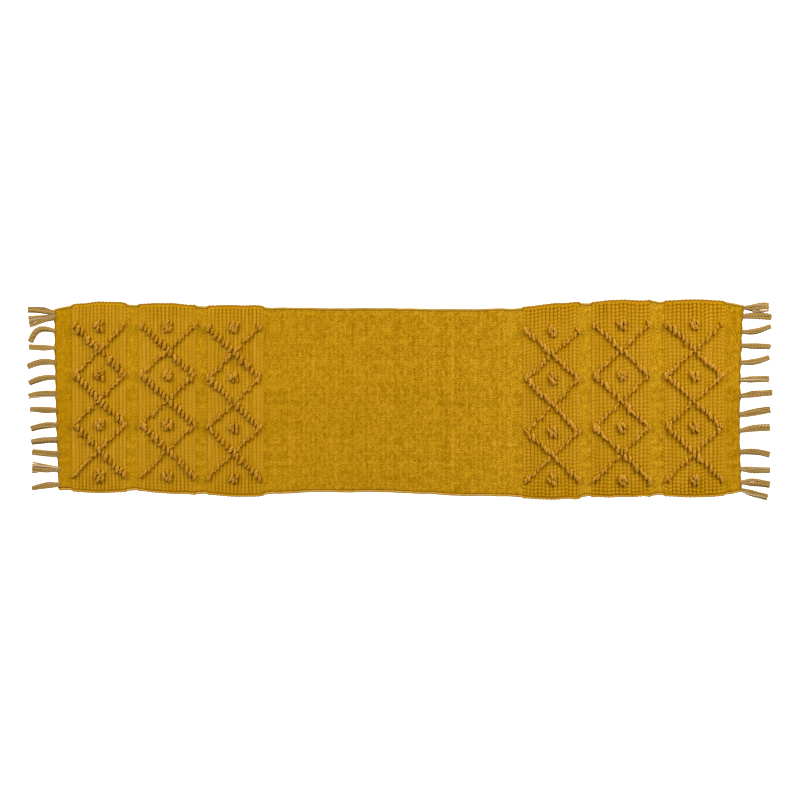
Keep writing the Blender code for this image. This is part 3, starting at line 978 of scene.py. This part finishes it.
def yarn_material(name, crest, body, gap, tone_share, kind, low=0.0, high=1.0, stray=None):
    """Dyed cotton, with painted shade in the gaps between the yarns and a painted highlight on
    their crests, uneven from yarn to yarn, with fine fibres.

    kind is weave, cord or yarn, which sets the way the fibres run. stray is the colour of the
    few yarns that took the dye badly.
    """
    nodes = Nodes(name)
    uv = nodes.uv()
    relief = nodes.add("ShaderNodeMapRange", Value=nodes.attribute("relief"))
    relief.inputs["From Min"].default_value = low
    relief.inputs["From Max"].default_value = high
    depth = relief.outputs["Result"]
    # painted shade and highlight: low relief gives the gap colour, middle relief the body colour
    # and the highest relief the crest colour
    base = nodes.mix(nodes.math("MINIMUM", nodes.math("MULTIPLY", depth, 1.7), 1.0), gap, body)
    crest_highlight = nodes.math("POWER", depth, 5.0 if kind == "cord" else 3.0)
    base = nodes.mix(crest_highlight, base, crest)
    # painted highlight along the hem rolls, from the hem attribute
    if kind != "yarn":
        base = nodes.mix(nodes.attribute("hem"), base, HEM_ROLL_HIGHLIGHT)
    if stray:
        pale = nodes.math("MULTIPLY", nodes.math("SUBTRACT", nodes.attribute("tone"), 1.25), 1.5)
        base = nodes.mix(nodes.math("MINIMUM", nodes.math("MAXIMUM", pale, 0.0), 0.7), base, stray)

    if kind == "weave":
        split = nodes.add("ShaderNodeSeparateXYZ", Vector=uv)
        wave_u = nodes.math("SINE", nodes.math("MULTIPLY", split.outputs["X"], np.pi))
        wave_v = nodes.math("SINE", nodes.math("MULTIPLY", split.outputs["Y"], np.pi))
        over = nodes.math("MULTIPLY", wave_u, wave_v)
        side = nodes.math("ADD", nodes.math("MULTIPLY", over, 2.5), 0.5)
        side = nodes.math("MINIMUM", nodes.math("MAXIMUM", side, 0.0), 1.0)
        weft_fibre = nodes.noise(nodes.stretch(uv, (6.0, 1.1, 1.0)), 1.0, 3.0)
        warp_fibre = nodes.noise(nodes.stretch(uv, (0.9, 7.0, 1.0)), 1.0, 3.0)
        fibre = nodes.math(
            "ADD",
            nodes.math("MULTIPLY", weft_fibre, side),
            nodes.math("MULTIPLY", warp_fibre, nodes.math("SUBTRACT", 1.0, side)),
        )
        bump_size = 0.0005
    elif kind == "cord":
        fibre = nodes.noise(nodes.stretch(uv, (3.2, 0.9, 1.0)), 1.0, 3.0)
        bump_size = 0.0008
    else:
        fibre = nodes.noise(nodes.stretch(uv, (0.35, 1.4, 1.0)), 1.0, 3.0)
        bump_size = 0.0005

    texture = nodes.tree.nodes.new("ShaderNodeTexCoord")
    blotch = nodes.noise(texture.outputs["Object"], 9.0, 3.0)
    tone = nodes.math("MULTIPLY", nodes.attribute("tone"), tone_share)
    for source, share in ((fibre, 0.30), (blotch, 0.10)):
        uneven = nodes.math("MULTIPLY", nodes.math("SUBTRACT", source, 0.5), share)
        tone = nodes.math("ADD", tone, uneven)
    # a darker yarn is also a redder one
    gains = [
        nodes.math("MAXIMUM", nodes.math("ADD", nodes.math("MULTIPLY", tone, share), 1.0), 0.0)
        for share in ((1.0, 1.0, 1.0) if stray else (1.0, 1.2, 3.5))
    ]
    tint = nodes.add("ShaderNodeCombineColor", Red=gains[0], Green=gains[1], Blue=gains[2])
    base = nodes.mix(1.0, base, tint.outputs["Color"], "MULTIPLY")

    nodes.set(nodes.shader.inputs["Base Color"], base)
    nodes.shader.inputs["Roughness"].default_value = 0.92
    nodes.shader.inputs["Specular IOR Level"].default_value = 0.0
    bump = nodes.add("ShaderNodeBump", Height=fibre, Strength=0.6, Distance=bump_size)
    nodes.set(nodes.shader.inputs["Normal"], bump.outputs["Normal"])
    return nodes.material


weave = yarn_material(
    "mustard_plain_weave",
    crest=colour(0.63, 0.348, 0.040),
    body=colour(0.47, 0.242, 0.0006),
    gap=colour(0.13, 0.048, 0.0),
    tone_share=0.14,
    kind="weave",
)
cords = yarn_material(
    "mustard_rib_cords",
    crest=colour(0.448, 0.236, 0.018),
    body=colour(0.360, 0.172, 0.0),
    gap=colour(0.330, 0.100, 0.0),
    tone_share=0.05,
    kind="cord",
)
loops_yarn = yarn_material(
    "tan_mustard_loop_yarn",
    crest=colour(0.435, 0.228, 0.028),
    body=colour(0.345, 0.152, 0.0020),
    gap=colour(0.27, 0.074, 0.0),
    tone_share=0.08,
    kind="yarn",
)
fringe_yarn = yarn_material(
    "tan_fringe_yarn",
    crest=colour(0.40, 0.270, 0.115),
    body=colour(0.285, 0.165, 0.033),
    gap=colour(0.12, 0.056, 0.004),
    tone_share=0.10,
    kind="yarn",
    low=-0.2,
    stray=colour(0.36, 0.30, 0.21),
)

# ---------------------------------------------------------------- the pieces

FOLD_REACH = 0.010  # the fold cloth spans this length at each side of an inner fold line


def declare(x_from, x_to):
    """Works out the near and far edges along a piece, and keeps nothing."""
    near, far = long_edges(np.linspace(x_from, x_to, 25))


next_weft = 0
left, right = SIDES["left"], SIDES["right"]
centre_from, centre_to = -left["folds"][0] + FOLD_REACH, right["folds"][0] - FOLD_REACH
centre = add_plain("centre_cloth", weave, centre_from, centre_to, 0)
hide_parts("centre_panel")
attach(centre, "centre")
declare(centre_from, centre_to)

for side, layout in SIDES.items():
    sign, folds = layout["sign"], layout["folds"]
    offset = 0 if side == "left" else 100

    def place(x):
        return sign * x

    # the cloth at the inner fold line, from the centre panel to the inner band
    start, end = folds[0] - FOLD_REACH, layout["inner_band"][0]
    piece = add_plain(
        f"{side}_fold_cloth", weave, place(start), place(end), 200 + offset, (False, True)
    )
    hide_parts(f"{side}_fold_strip")
    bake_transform(piece)
    declare(place(start), place(end))

    # the plain stripes at the middle and outer fold lines
    for stripe, inner, outer, fold in (
        ("inner_stripe", "inner", "middle", folds[1]),
        ("outer_stripe", "middle", "outer", folds[2]),
    ):
        start, end = layout[f"{inner}_band"][1], layout[f"{outer}_band"][0]
        piece = add_plain(
            f"{side}_{stripe}_cloth", weave, place(start), place(end), 300 + offset, (True, True)
        )
        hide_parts(f"{side}_{stripe}_a", f"{side}_{stripe}_b")
        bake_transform(piece)
        declare(place(start), place(end))

    # the bands and their loops
    for k, band in enumerate(("inner", "middle", "outer")):
        low, high = sorted(place(x) for x in layout[f"{band}_band"])
        seed = 400 + 20 * k + offset
        pattern = f"{side}_{band}"
        cloth = add_band(
            f"{pattern}_band_cloth", cords, low, high, pattern, seed, *BAND_SHAPES[side]
        )
        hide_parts(f"{side}_{band}_band")
        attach(cloth, f"{side}_{band}")
        pile = add_loops(f"{pattern}_loop_yarns", loops_yarn, pattern, low, high, seed + 10)
        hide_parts(f"{side}_{band}_loops")
        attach(pile, f"{side}_{band}")
        declare(low, high)

    # the heading and its tassels
    start, end = layout["outer_band"][1], abs(HEADING_EDGE[side][1])
    heading = add_plain(
        f"{side}_heading_cloth", weave, place(start), place(end), 600 + offset, (True, False), side
    )
    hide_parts(f"{side}_heading")
    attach(heading, f"{side}_outer")
    for number in range(1, len(TASSELS[side]) + 1):
        tassel = add_tassel(side, number, fringe_yarn)
        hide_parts(f"{side}_tassel_{number:02d}")
        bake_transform(tassel)
    declare(place(start), place(end))

# ---------------------------------------------------------------- floor

floor_nodes = Nodes("white_floor")
floor_nodes.shader.inputs["Base Color"].default_value = colour(0.9, 0.9, 0.9)
floor_nodes.shader.inputs["Roughness"].default_value = 1.0
floor_nodes.shader.inputs["Emission Color"].default_value = colour(1, 1, 1)
floor_nodes.shader.inputs["Emission Strength"].default_value = 0.5
turns = np.linspace(0, 2 * np.pi, FLOOR_SIDES + 1)[:-1]
rim = FLOOR_RADIUS * np.stack([np.cos(turns), np.sin(turns), 0 * turns], -1) + (0, 0, FLOOR_Z)
floor = make_piece("floor", rim, [np.arange(FLOOR_SIDES)[None, :]], floor_nodes.material)
